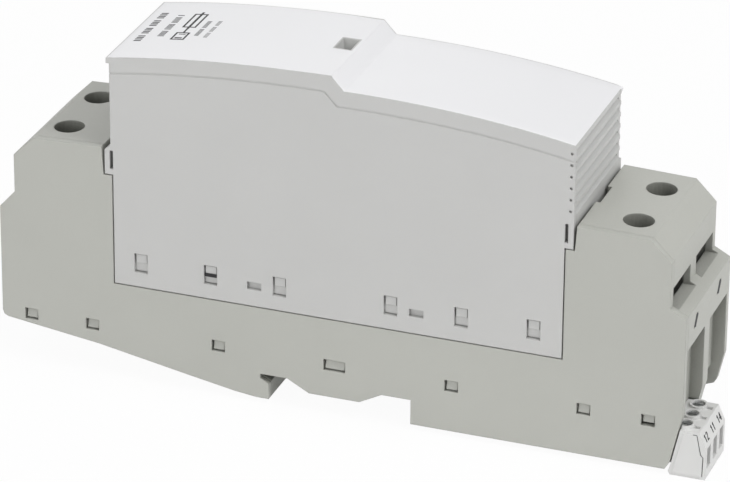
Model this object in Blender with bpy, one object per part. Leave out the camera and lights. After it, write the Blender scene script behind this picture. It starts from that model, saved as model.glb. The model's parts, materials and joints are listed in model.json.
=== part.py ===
# Two-module rail-mounted surge arrester: a base with two terminal towers, a
# pluggable protection unit under an arched cap, and a three-pole signal connector.
# X runs along the base, Y across its width, Z away from the mounting rail.
# The origin lies on the rail seat, in the middle of the width.

import bpy
import bmesh
import math
from mathutils import Matrix, Vector

mm = 0.001

# Driving dimensions: clearances and walls
gap = 0.3 * mm                      # between pieces that touch
wall = 1.8 * mm                     # moulded outer walls
cover_thickness = 1.5 * mm          # the two side covers
rib_wall = 1.4 * mm                 # thin inner partitions

# Driving dimensions: overall
width = 35.6 * mm                   # two modules
near_y = -width / 2
far_y = width / 2
pole_pitch = 18.0 * mm              # between the two poles of one end
tower_top = {-1: 51.9 * mm, 1: 51.2 * mm}   # left and right, at the chamfer
tower_rise = 0.6 * mm               # of a tower's top towards the plug
base_bottom = -6.0 * mm

# Driving dimensions: base outline
end_left = -85.2 * mm
end_right = 83.9 * mm
tower_left_wall = -81.3 * mm
tower_right_wall = 80.0 * mm
tower_chamfer = 5.0 * mm
lip_left_top = 37.3 * mm
lip_left_bottom = 32.9 * mm
lip_right_top = 34.8 * mm
lip_right_bottom = 32.7 * mm
left_tower_inner = -58.9 * mm
right_tower_inner = 57.5 * mm
tower_lean = 0.45 * mm              # of a tower's face beside the plug's ear

# Driving dimensions: rail seat
rail_width = 35.0 * mm
rail_play = 0.7 * mm
seat_z = 0.3 * mm
hook_depth = 2.0 * mm
foot_drop = 2.9 * mm

# Driving dimensions: plug
plug_left = -56.0 * mm
plug_left_upper = -56.6 * mm
plug_right = 54.6 * mm
plug_right_upper = 56.7 * mm
plug_bottom = 17.8 * mm
ear_bottom = 45.8 * mm
ear_top = 52.0 * mm
ear_reach = 2.1 * mm
ear_slot = 0.8 * mm
cap_left = -57.4 * mm
cap_right = plug_right_upper
cap_high = 79.3 * mm
cap_low = 76.0 * mm
cap_step_left = -1.9 * mm
cap_step_right = 1.2 * mm
cap_left_drop = 4.0 * mm
cap_right_drop = 4.6 * mm
skirt_height = 3.8 * mm
arch_steps = 12
cap_wall = 1.6 * mm
grip_pitch = 2.86 * mm
grip_count = 6
grip_depth = 1.1 * mm
grip_low = 55.1 * mm
grip_foot = 53.4 * mm
grip_margin = 1.4 * mm              # plain strip at the far end of the grooves

# Driving dimensions: terminals
screw_x = {-1: 70.7 * mm, 1: 69.3 * mm}     # left and right, from the middle
screw_hole = 7.3 * mm
screw_head = 6.4 * mm
screw_head_top = 41.0 * mm
screw_head_height = 4.0 * mm
screw_shank = 5.4 * mm
tongue_top = 20.6 * mm
bar_thickness = 2.0 * mm
cage_width = 10.8 * mm
cage_length = 8.4 * mm
cage_floor = 6.7 * mm
cage_wall = 1.4 * mm
cage_nut = 3.4 * mm
cage_top = 25.6 * mm

# Driving dimensions: end openings
funnel_depth = 3.1 * mm
funnel_top = 24.0 * mm
end_rib = 4.0 * mm
bus_low = 34.0 * mm
bus_high = 39.2 * mm
bus_half = 6.8 * mm
wire_hole = 7.0 * mm
wire_low = 8.6 * mm
wire_high = 18.4 * mm
mark_height = 2.9 * mm              # slanted keyhole slots above the right troughs
mark_width = 1.6 * mm
mark_lean = 0.9 * mm
mark_depth = 1.0 * mm
mark_z = 29.1 * mm
mark_ys = (-9.8 * mm, 8.8 * mm)

# Driving dimensions: signal connector
signal_pitch = 5.08 * mm
signal_poles = 3
signal_width = 15.6 * mm
signal_left = 81.2 * mm
signal_front = 89.6 * mm
signal_top = 4.7 * mm
signal_bottom = -7.3 * mm
signal_screw = 2.9 * mm


def material(name, colour, roughness, metallic=0.0):
    """A Principled material, made once for each finish."""
    found = bpy.data.materials.get(name)
    if found:
        return found
    made = bpy.data.materials.new(name)
    made.use_nodes = True
    shader = made.node_tree.nodes["Principled BSDF"]
    shader.inputs["Base Color"].default_value = (*colour, 1.0)
    shader.inputs["Roughness"].default_value = roughness
    shader.inputs["Metallic"].default_value = metallic
    return made


# Finishes
base_grey = material("base_grey", (0.47, 0.48, 0.44), 0.55)
plug_grey = material("plug_grey", (0.56, 0.56, 0.56), 0.5)
cap_white = material("cap_white", (0.82, 0.82, 0.84), 0.45)
signal_white = material("signal_white", (0.80, 0.80, 0.80), 0.45)
latch_black = material("latch_black", (0.05, 0.05, 0.055), 0.5)
zinc_steel = material("zinc_steel", (0.62, 0.62, 0.63), 0.35, 1.0)
brass = material("brass", (0.72, 0.56, 0.30), 0.3, 1.0)
tinned_copper = material("tinned_copper", (0.74, 0.70, 0.66), 0.3, 1.0)
copper = material("copper", (0.78, 0.42, 0.26), 0.3, 1.0)
ceramic = material("ceramic", (0.86, 0.85, 0.80), 0.4)
resin_black = material("resin_black", (0.04, 0.04, 0.04), 0.45)
board_green = material("board_green", (0.05, 0.22, 0.10), 0.45)
varistor_blue = material("varistor_blue", (0.06, 0.15, 0.42), 0.4)
flag_green = material("flag_green", (0.35, 0.50, 0.42), 0.5)
spring_steel = material("spring_steel", (0.55, 0.55, 0.57), 0.3, 1.0)


# Basic shapes, as bmeshes
def prism(outline, axis, start, stop):
    """A straight prism: the outline's two coordinates are the other two axes, in order."""
    def place(a, b, along):
        return {"x": (along, a, b), "y": (a, along, b), "z": (a, b, along)}[axis]
    bm = bmesh.new()
    low = [bm.verts.new(place(a, b, start)) for a, b in outline]
    high = [bm.verts.new(place(a, b, stop)) for a, b in outline]
    bm.faces.new(low)
    bm.faces.new(list(reversed(high)))
    count = len(outline)
    for i in range(count):
        j = (i + 1) % count
        bm.faces.new((low[i], high[i], high[j], low[j]))
    bmesh.ops.recalc_face_normals(bm, faces=bm.faces)
    return bm


def block(x0, x1, y0, y1, z0, z1):
    return prism([(x0, z0), (x1, z0), (x1, z1), (x0, z1)], "y", y0, y1)


def circle(a, b, radius, sides=24, turn=0.0):
    """Points of a circle about (a, b)."""
    steps = [turn + 2 * math.pi * i / sides for i in range(sides)]
    return [(a + radius * math.cos(s), b + radius * math.sin(s)) for s in steps]


def rod(axis, a, b, radius, start, stop, sides=24):
    return prism(circle(a, b, radius, sides), axis, start, stop)


def slot_outline(a, b, half_a, half_b, sides=12):
    """An upright slot with round ends, half_a wide and half_b high to its tips."""
    points = []
    for i in range(sides + 1):
        turn = math.pi * i / sides
        points.append((a + half_a * math.cos(turn), b + half_b - half_a + half_a * math.sin(turn)))
    for i in range(sides + 1):
        turn = math.pi + math.pi * i / sides
        points.append((a + half_a * math.cos(turn), b - half_b + half_a + half_a * math.sin(turn)))
    return points


def turned(axis, a, b, profile, sides=24):
    """A solid of revolution: profile is (radius, position along the axis), ends at radius 0."""
    bm = bmesh.new()
    rings = []
    for radius, along in profile:
        ring = circle(a, b, radius, sides) if radius > 0 else [(a, b)]
        place = {"x": lambda p: (along, p[0], p[1]),
                 "y": lambda p: (p[0], along, p[1]),
                 "z": lambda p: (p[0], p[1], along)}[axis]
        rings.append([bm.verts.new(place(p)) for p in ring])
    for lower, upper in zip(rings, rings[1:]):
        for i in range(sides):
            j = (i + 1) % sides
            corners = [lower[i % len(lower)], lower[j % len(lower)],
                       upper[j % len(upper)], upper[i % len(upper)]]
            unique = [v for k, v in enumerate(corners) if v not in corners[:k]]
            bm.faces.new(unique)
    bmesh.ops.recalc_face_normals(bm, faces=bm.faces)
    return bm


def tube_path(points, radius, sides=8):
    """A round wire along a path of points, closed at both ends."""
    bm = bmesh.new()
    rings = []
    for i, point in enumerate(points):
        before = points[max(i - 1, 0)]
        after = points[min(i + 1, len(points) - 1)]
        ahead = (after - before).normalized()
        side = ahead.cross(Vector((0.31, 0.17, 0.93))).normalized()
        lift = ahead.cross(side)
        ring = []
        for k in range(sides):
            turn = 2 * math.pi * k / sides
            ring.append(bm.verts.new(point + radius * (math.cos(turn) * side + math.sin(turn) * lift)))
        rings.append(ring)
    for lower, upper in zip(rings, rings[1:]):
        for k in range(sides):
            j = (k + 1) % sides
            bm.faces.new((lower[k], lower[j], upper[j], upper[k]))
    bm.faces.new(rings[0])
    bm.faces.new(rings[-1])
    bmesh.ops.recalc_face_normals(bm, faces=bm.faces)
    return bm


# Objects and Booleans
def add_object(name, bm, finish, pivot=(0.0, 0.0, 0.0), parent=None):
    """Turn a bmesh into a named object whose origin is the pivot."""
    pivot = Vector(pivot)
    bmesh.ops.translate(bm, verts=bm.verts, vec=-pivot)
    mesh = bpy.data.meshes.new(name)
    bm.to_mesh(mesh)
    bm.free()
    mesh.materials.append(finish)
    thing = bpy.data.objects.new(name, mesh)
    bpy.context.scene.collection.objects.link(thing)
    thing.location = pivot
    if parent:
        thing.parent = parent
        thing.matrix_parent_inverse = Matrix.Translation(-parent.location)
    return thing


def combine(bm, others, operation):
    """Boolean the other bmeshes into this one, one after another."""
    mesh = bpy.data.meshes.new("work")
    bm.to_mesh(mesh)
    bm.free()
    work = bpy.data.objects.new("work", mesh)
    bpy.context.scene.collection.objects.link(work)
    tools = []
    for other in others:
        tool_mesh = bpy.data.meshes.new("tool")
        other.to_mesh(tool_mesh)
        other.free()
        tool = bpy.data.objects.new("tool", tool_mesh)
        tool.hide_render = True
        tool.display_type = "WIRE"
        bpy.context.scene.collection.objects.link(tool)
        step = work.modifiers.new("step", "BOOLEAN")
        step.operation = operation
        step.solver = "EXACT"
        step.object = tool
        tools.append(tool)
    bpy.context.view_layer.update()
    evaluated = work.evaluated_get(bpy.context.evaluated_depsgraph_get())
    result = bmesh.new()
    result.from_mesh(evaluated.to_mesh())
    evaluated.to_mesh_clear()
    for thing in tools + [work]:
        bpy.data.objects.remove(thing, do_unlink=True)
    bmesh.ops.remove_doubles(result, verts=result.verts, dist=0.002 * mm)
    return result


def cut(bm, *cutters):
    return combine(bm, cutters, "DIFFERENCE")


def fuse(bm, *parts):
    return combine(bm, parts, "UNION")


def arc_points(x0, x1, crown_x, crown_z, drop, reach, steps):
    """Points of a shallow arch, left to right: its height falls with distance from the crown."""
    points = []
    for i in range(steps + 1):
        x = x0 + (x1 - x0) * i / steps
        points.append((x, crown_z - drop * (abs(x - crown_x) / reach) ** 2.2))
    return points


# Values that follow from the driving dimensions
pole_ys = (-pole_pitch / 2, pole_pitch / 2)
inner_near = near_y + cover_thickness + gap
inner_far = far_y - wall
seat_left = plug_left - gap
seat_right = plug_right + gap
floor_top = plug_bottom - gap
notch_bottom = ear_bottom - gap
floor_under = floor_top - wall
channel_half = rail_width / 2 + rail_play
cavity_floor = 6.4 * mm
trough_half = (pole_pitch - end_rib) / 2
sides = (-1, 1)


def rail_channel():
    """The rail channel's edge, from the right foot over the seat to the left hook."""
    pad_low = seat_z - foot_drop
    return [
        (channel_half, base_bottom),
        (channel_half, seat_z),
        (channel_half - 7.2 * mm, seat_z),
        (channel_half - 12.7 * mm, pad_low),
        (-channel_half + 11.1 * mm, pad_low),
        (-channel_half + 5.7 * mm, seat_z),
        (-channel_half - 1.1 * mm, seat_z),
        (-channel_half - 1.1 * mm, seat_z - 1.1 * mm),
        (-channel_half + 1.0 * mm, -hook_depth),
        (-channel_half + 1.0 * mm, base_bottom),
    ]


def base_outline():
    """The base seen from the near side, from the lower right corner anticlockwise."""
    right_heel = [
        (end_right - 3.9 * mm, base_bottom),
        (end_right - 2.8 * mm, base_bottom + 1.8 * mm),
        (end_right - 0.7 * mm, base_bottom + 11.4 * mm),
        (end_right, base_bottom + 14.4 * mm),
    ]
    right_tower = [
        (end_right, lip_right_bottom),
        (tower_right_wall, lip_right_top),
        (tower_right_wall, tower_top[1] - tower_chamfer),
        (tower_right_wall - tower_chamfer, tower_top[1]),
        (right_tower_inner, tower_top[1] + tower_rise),
        (right_tower_inner - tower_lean, notch_bottom),
    ]
    plug_seat = [
        (seat_right, notch_bottom),
        (seat_right, floor_top),
        (seat_left, floor_top),
        (seat_left, notch_bottom),
    ]
    left_tower = [
        (left_tower_inner + tower_lean, notch_bottom),
        (left_tower_inner, tower_top[-1] + tower_rise),
        (tower_left_wall + tower_chamfer, tower_top[-1]),
        (tower_left_wall, tower_top[-1] - tower_chamfer),
        (tower_left_wall, lip_left_top),
        (end_left, lip_left_bottom),
    ]
    keel = [
        (end_left, 5.6 * mm),
        (end_left + 0.4 * mm, 4.5 * mm),
        (end_left + 1.5 * mm, 4.0 * mm),
        (-60.3 * mm, 0.9 * mm),
        (-39.1 * mm, base_bottom + 3.0 * mm),
        (-25.6 * mm, base_bottom + 0.6 * mm),
        (-20.4 * mm, base_bottom),
    ]
    return right_heel + right_tower + plug_seat + left_tower + keel + rail_channel()[::-1]


def base_cavity():
    """The hollow of the base: both towers and the contact space under the plug seat."""
    right_wall = tower_right_wall - wall
    left_wall = tower_left_wall + wall
    right_roof = tower_top[1] - wall
    left_roof = tower_top[-1] - wall
    return [
        (-54.0 * mm, 3.0 * mm),
        (-26.0 * mm, -2.4 * mm),
        (-22.0 * mm, -2.4 * mm),
        (-22.0 * mm, seat_z + 2.2 * mm),
        (seat_right - 3.0 * mm, seat_z + 2.2 * mm),
        (seat_right + 1.0 * mm, cavity_floor),
        (right_wall, cavity_floor),
        (right_wall, right_roof - tower_chamfer + 1.0 * mm),
        (right_wall - tower_chamfer + 1.0 * mm, right_roof),
        (right_tower_inner + wall, right_roof),
        (right_tower_inner + wall, notch_bottom - wall),
        (seat_right + wall, notch_bottom - wall),
        (seat_right + wall, floor_under),
        (seat_left - wall, floor_under),
        (seat_left - wall, notch_bottom - wall),
        (left_tower_inner - wall, notch_bottom - wall),
        (left_tower_inner - wall, left_roof),
        (left_wall + tower_chamfer - 1.0 * mm, left_roof),
        (left_wall, left_roof - tower_chamfer + 1.0 * mm),
        (left_wall, cavity_floor),
        (-57.0 * mm, cavity_floor),
    ]


# Catch windows in the two side covers: centre X, width
base_window_low = 4.3 * mm
base_window_high = 7.1 * mm
base_windows = [
    (-77.7 * mm, 3.3 * mm),
    (-62.0 * mm, 3.3 * mm),
    (-29.9 * mm, 3.3 * mm),
    (-0.8 * mm, 5.4 * mm),
    (28.1 * mm, 3.3 * mm),
    (60.2 * mm, 3.3 * mm),
    (75.7 * mm, 3.3 * mm),
]
plug_window_low = 21.4 * mm
plug_window_high = 26.3 * mm
plug_windows = [x * mm for x in (-49.3, -31.75, -14.5, 12.95, 30.2, 47.7)]
plug_window_width = 3.3 * mm
plug_slots = [x * mm for x in (-20.8, 19.3)]
plug_slot_width = 3.5 * mm
plug_slot_low = 22.0 * mm
plug_slot_high = 23.9 * mm
hook_setback = 0.5 * mm
hook_lean = 0.5 * mm


def base_catch(x, half, low, high, back):
    """A hook of the base in its window: its face leans back towards its top."""
    front = near_y + hook_setback
    outline = [(front + hook_lean, high), (back, high), (back, low), (front, low)]
    return prism(outline, "x", x - half, x + half)


def plug_catch(x, half, low, high, back):
    """A hook of the plug in its window: upright above, a sloped lead-in below."""
    front = near_y + hook_setback
    split = (low + high) / 2
    outline = [(front, high), (back, high), (back, low), (near_y + cover_thickness, low),
               (front + hook_lean / 2, split), (front, split)]
    return prism(outline, "x", x - half, x + half)


# Signal connector and its bay
signal_near = near_y + gap
signal_far = signal_near + signal_width
signal_ys = [
    (signal_near + signal_far) / 2 + signal_pitch * (i - (signal_poles - 1) / 2)
    for i in range(signal_poles)
]
bay_top = signal_top + gap
bay_left = 73.6 * mm
header_front = 78.0 * mm

# Rail latch
latch_top = -1.3 * mm
latch_shelf = -4.3 * mm
latch_under = base_bottom + 0.2 * mm
latch_nose = 14.3 * mm
latch_end = 58.0 * mm
latch_half = 6.5 * mm
latch_half_low = 4.7 * mm
latch_room = 8.0 * mm

# Plug contacts and switch
blade_x = 40.0 * mm
blade_half = 1.0 * mm
blade_width = 9.0 * mm
blade_tip = 5.2 * mm
plunger_x = 14.0 * mm
plunger_y = -9.0 * mm
duct_half = 2.9 * mm
duct_height = 1.4 * mm
plunger_radius = 1.2 * mm
plunger_top = plug_bottom + 1.2 * mm


def heel_relief():
    """What the far half leaves out at its lower right corner."""
    return [
        (end_right, 8.4 * mm), (end_right - 1.3 * mm, 1.8 * mm), (end_right - 2.2 * mm, 0.3 * mm),
        (end_right - 4.2 * mm, -0.5 * mm), (bay_left, -0.5 * mm), (bay_left, base_bottom - wall),
        (end_right + wall, base_bottom - wall), (end_right + wall, 8.4 * mm),
    ]


def make_base_housing():
    """The moulded housing: far wall, both towers, plug seat, rail foot and end openings."""
    body = prism(base_outline(), "y", inner_near, far_y)
    body = cut(body, prism(base_cavity(), "y", inner_near - wall, inner_far))
    additions = []
    for x, window in base_windows:
        half = window / 2 - gap
        back = inner_near + 3.0 * mm if abs(x) > blade_x else inner_far + gap
        additions.append(base_catch(x, half, base_window_low + gap, base_window_high - gap, back))
    sleeve_low = screw_head_top + 3.0 * mm
    for side in sides:
        for y in pole_ys:
            additions.append(rod("z", side * screw_x[side], y, screw_hole / 2 + 1.2 * mm,
                                 sleeve_low, tower_top[side] - wall / 2, 24))
    body = fuse(body, *additions)
    cutters = []
    for side in sides:
        end = end_right if side > 0 else end_left
        bus_shift = 0.0 if side > 0 else lip_left_top - lip_right_top
        trough_low = bay_top if side > 0 else cavity_floor - 0.4 * mm
        wall_x = tower_right_wall if side > 0 else tower_left_wall
        inner_x = wall_x - side * (wall + 3.0 * mm)
        outer_x = end + side * wall
        for y in pole_ys:
            cutters.append(rod("z", side * screw_x[side], y, screw_hole / 2,
                               sleeve_low - wall, tower_top[side] + wall, 24))
            cutters.append(block(*sorted((end - side * funnel_depth, outer_x)),
                                 y - trough_half, y + trough_half, trough_low, funnel_top))
            cutters.append(block(*sorted((inner_x, outer_x)), y - bus_half, y + bus_half,
                                 bus_low + bus_shift, bus_high + bus_shift))
            mouth = slot_outline(y, (wire_low + wire_high) / 2, wire_hole / 2,
                                 (wire_high - wire_low) / 2, 6)
            cutters.append(prism(mouth, "x", *sorted((inner_x, outer_x))))
    cutters.append(block(bay_left, end_right + wall, inner_near - wall, signal_far + gap,
                         base_bottom - wall, bay_top))
    far_pole = pole_ys[1]
    cutters.append(block(bay_left, end_right + wall, far_pole - trough_half, far_pole + trough_half,
                         base_bottom - wall, bay_top))
    cutters.append(prism(heel_relief(), "y", signal_far + gap / 2, far_y + wall))
    low, high = mark_z - mark_height / 2, mark_z + mark_height / 2
    for y in mark_ys:
        slanted = [(y - mark_lean - mark_width / 2, low), (y - mark_lean + mark_width / 2, low),
                   (y + mark_lean + mark_width / 2, high), (y + mark_lean - mark_width / 2, high)]
        cutters.append(prism(slanted, "x", end_right - mark_depth, end_right + wall))
    cutters.append(block(right_tower_inner - wall / 2, right_tower_inner + 1.0 * mm,
                         -3.8 * mm, 5.1 * mm, notch_bottom, tower_top[1] + wall))
    cutters.append(block(latch_nose - 3 * mm, latch_end + latch_room, -latch_half - gap,
                         latch_half + gap, latch_shelf - gap, latch_top + gap))
    cutters.append(block(latch_nose - 3 * mm, latch_end + latch_room, -latch_half_low - gap,
                         latch_half_low + gap, base_bottom - wall, latch_shelf))
    for side in sides:
        x = side * blade_x
        cutters.append(block(x - blade_half - 2 * gap, x + blade_half + 2 * gap,
                             -blade_width / 2 - gap, blade_width / 2 + gap,
                             floor_under - wall, floor_top + wall))
    cutters.append(rod("z", plunger_x, plunger_y, plunger_radius + gap, floor_under - wall,
                       floor_top + wall, 16))
    duct_low = seat_z + 2.2 * mm
    cutters.append(block(seat_right - 6.0 * mm, bay_left + wall, plunger_y - duct_half,
                         plunger_y + duct_half, duct_low, duct_low + duct_height))
    body = cut(body, *cutters)
    return add_object("base_housing", body, base_grey)


def make_base_cover():
    """The near side cover of the base, one flat plate with its catch windows."""
    plate = prism(base_outline(), "y", near_y, near_y + cover_thickness)
    windows = [block(x - window / 2, x + window / 2, near_y - wall, near_y + 2 * cover_thickness,
                     base_window_low, base_window_high) for x, window in base_windows]
    return add_object("base_side_cover", cut(plate, *windows), base_grey)


def make_partitions():
    """A plate between the two poles in each tower."""
    for side, name in ((-1, "partition_left"), (1, "partition_right")):
        wall_x = tower_right_wall if side > 0 else -tower_left_wall
        outer = wall_x - wall - gap
        inner = screw_x[side] - 5.3 * mm
        top = tower_top[side] - wall - gap
        outline = [
            (side * inner, cavity_floor + gap),
            (side * outer, cavity_floor + gap),
            (side * outer, top - tower_chamfer + 0.9 * mm),
            (side * (outer - tower_chamfer + 0.9 * mm), top),
            (side * inner, top),
        ]
        add_object(name, prism(outline, "y", -rib_wall / 2, rib_wall / 2), base_grey)


# Terminals
def make_terminals():
    """Four screws with lifting clamp cages; each turning pair stands on its screw's axis."""
    thread_low = tongue_top + gap
    for side, end in ((-1, "left"), (1, "right")):
        for y, row in zip(pole_ys, ("near", "far")):
            x = side * screw_x[side]
            half = screw_head / 2
            screw = turned("z", x, y, [
                (0.0, thread_low), (screw_shank / 2 - 0.6 * mm, thread_low),
                (screw_shank / 2, thread_low + 0.8 * mm),
                (screw_shank / 2, screw_head_top - screw_head_height),
                (half, screw_head_top - screw_head_height),
                (half, screw_head_top - 0.4 * mm), (half - 0.4 * mm, screw_head_top),
                (0.0, screw_head_top)], 20)
            recess = screw_head_top - 2.2 * mm
            arm = 0.55 * mm
            reach = 1.9 * mm
            screw = cut(screw,
                        block(x - arm, x + arm, y - reach, y + reach, recess, screw_head_top + wall),
                        block(x - reach, x + reach, y - arm, y + arm, recess, screw_head_top + wall))
            add_object(f"terminal_screw_{end}_{row}", screw, zinc_steel, (x, y, screw_head_top))
            cage = block(x - cage_length / 2, x + cage_length / 2, y - cage_width / 2,
                         y + cage_width / 2, cage_floor, cage_top)
            cage = cut(cage,
                       block(x - cage_length, x + cage_length, y - cage_width / 2 + cage_wall,
                             y + cage_width / 2 - cage_wall, cage_floor + cage_wall,
                             cage_top - cage_nut),
                       rod("z", x, y, screw_shank / 2 + gap, cage_top - 2 * cage_nut,
                           cage_top + wall, 16))
            add_object(f"clamp_cage_{end}_{row}", cage, zinc_steel, (x, y, cage_floor))


def make_busbars():
    """Each bar has a tongue in two cages, steps down and meets its contact clip."""
    tongue_low = tongue_top - bar_thickness
    foot_top = floor_under - 3.4 * mm
    clip_edge = blade_x + blade_half + 1.4 * mm
    for side, end in ((-1, "left"), (1, "right")):
        riser = screw_x[side] - cage_length / 2 - 1.8 * mm
        tongue_end = screw_x[side] + cage_length / 2 + 1.3 * mm
        outline = [
            (side * tongue_end, tongue_low),
            (side * tongue_end, tongue_top),
            (side * (riser - bar_thickness), tongue_top),
            (side * (riser - bar_thickness), foot_top),
            (side * clip_edge, foot_top),
            (side * clip_edge, foot_top - bar_thickness),
            (side * riser, foot_top - bar_thickness),
            (side * riser, tongue_low),
        ]
        reach = pole_pitch / 2 + cage_width / 2 - cage_wall - 0.4 * mm
        between = pole_pitch / 2 - cage_width / 2 + cage_wall + 0.4 * mm
        bar = prism(outline, "y", -reach, reach)
        clear_end = screw_x[side] + cage_length
        foot = sorted((side * (clip_edge - wall), side * (riser - bar_thickness - gap)))
        bar = cut(bar,
                  block(*sorted((side * (riser + gap), side * clear_end)), -between, between,
                        tongue_low - wall, tongue_top + wall),
                  block(*foot, blade_width / 2, reach + wall, foot_top - 2 * bar_thickness,
                        foot_top + wall),
                  block(*foot, -reach - wall, -blade_width / 2, foot_top - 2 * bar_thickness,
                        foot_top + wall))
        add_object(f"busbar_{end}", bar, tinned_copper)


def make_contact_clips():
    """Sprung clips that the plug's blades push into."""
    low = seat_z + 2.2 * mm + gap
    top = floor_under - gap
    sheet = 0.8 * mm
    inside = blade_half + gap
    mouth = blade_half + 1.6 * mm
    for side, end in ((-1, "left"), (1, "right")):
        right_leg = [
            (inside, low + sheet), (inside, top - 2.6 * mm), (mouth - sheet, top),
            (mouth, top), (inside + sheet, top - 2.9 * mm), (inside + sheet, low),
        ]
        left_leg = [(-x, z) for x, z in reversed(right_leg)]
        outline = [(side * blade_x + x, z) for x, z in right_leg + left_leg]
        clip = prism(outline, "y", -blade_width / 2, blade_width / 2)
        add_object(f"contact_clip_{end}", clip, tinned_copper)


def make_latch():
    """The sliding foot that holds the rail's other edge, with its spring behind it."""
    ramp = 2.4 * mm
    nose = [
        (latch_nose, latch_top), (latch_nose, latch_top - 0.8 * mm),
        (latch_nose + ramp, latch_under), (latch_end, latch_under), (latch_end, latch_top),
    ]
    latch = prism(nose, "y", -latch_half, latch_half)
    ear = latch_half + wall
    latch = cut(latch,
                block(latch_nose - wall, latch_end + wall, latch_half_low, ear,
                      latch_under - wall, latch_shelf + gap),
                block(latch_nose - wall, latch_end + wall, -ear, -latch_half_low,
                      latch_under - wall, latch_shelf + gap),
                block(latch_end - 9.0 * mm, latch_end - 4.0 * mm, -2.6 * mm, 2.6 * mm,
                      latch_under - wall, latch_top + wall),
                block(latch_nose + 9.0 * mm, latch_end - 13.0 * mm, -3.2 * mm, 3.2 * mm,
                      latch_under - wall, latch_under + 1.6 * mm))
    add_object("rail_latch", latch, latch_black, (latch_nose, 0.0, latch_top))
    turns = 6
    per_turn = 10
    radius = 1.1 * mm
    start = latch_end + gap + 0.35 * mm
    length = latch_room - 2 * gap - 0.7 * mm
    centre_z = (latch_top + latch_shelf) / 2
    points = []
    for i in range(turns * per_turn + 1):
        turn = 2 * math.pi * i / per_turn
        points.append(Vector((start + length * i / (turns * per_turn),
                              radius * math.cos(turn), centre_z + radius * math.sin(turn))))
    add_object("latch_spring", tube_path(points, 0.28 * mm, 6), spring_steel)


# Signalling parts of the base
def make_signal_switch():
    """A small switch under the plug seat, worked by a pin that reaches into the plug."""
    low = seat_z + 2.2 * mm + gap
    top = floor_under - 3.0 * mm
    x, y = plunger_x, plunger_y
    body = block(x - 6.4 * mm, x + 6.4 * mm, y - 3.0 * mm, y + 3.0 * mm, low, top)
    body = fuse(body, block(x - 2.4 * mm, x + 2.4 * mm, y - 2.0 * mm, y + 2.0 * mm,
                            top - wall, top + 0.8 * mm))
    body = cut(body, rod("z", x, y, plunger_radius + gap, top - 2.6 * mm, top + 2 * wall, 16))
    add_object("signal_switch", body, resin_black)
    pin = turned("z", x, y, [
        (0.0, top - 0.3 * mm), (plunger_radius, top - 0.3 * mm),
        (plunger_radius, plunger_top - 0.5 * mm), (plunger_radius - 0.4 * mm, plunger_top),
        (0.0, plunger_top)], 16)
    add_object("switch_plunger", pin, cap_white, (x, y, plunger_top))


def make_signal_header():
    """The fixed half of the signal connection, with three flat pins."""
    mid = (signal_near + signal_far) / 2
    half = signal_width / 2 - 2.2 * mm
    header = block(bay_left + gap, header_front - gap, mid - half, mid + half,
                   signal_bottom + 3.0 * mm, bay_top - gap)
    pins = [block(header_front - wall, header_front + 3.2 * mm, y - 0.6 * mm, y + 0.6 * mm,
                  -0.9 * mm, -0.3 * mm) for y in signal_ys]
    add_object("signal_header", fuse(header, *pins), resin_black)
    run_low = seat_z + 2.2 * mm + gap
    for index in range(signal_poles):
        y = plunger_y + (index - 1) * 2.0 * mm
        strip = block(plunger_x + 6.4 * mm + gap, bay_left, y - 0.5 * mm, y + 0.5 * mm,
                      run_low, run_low + 0.5 * mm)
        add_object(f"signal_strip_{index + 1}", strip, tinned_copper)


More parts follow.
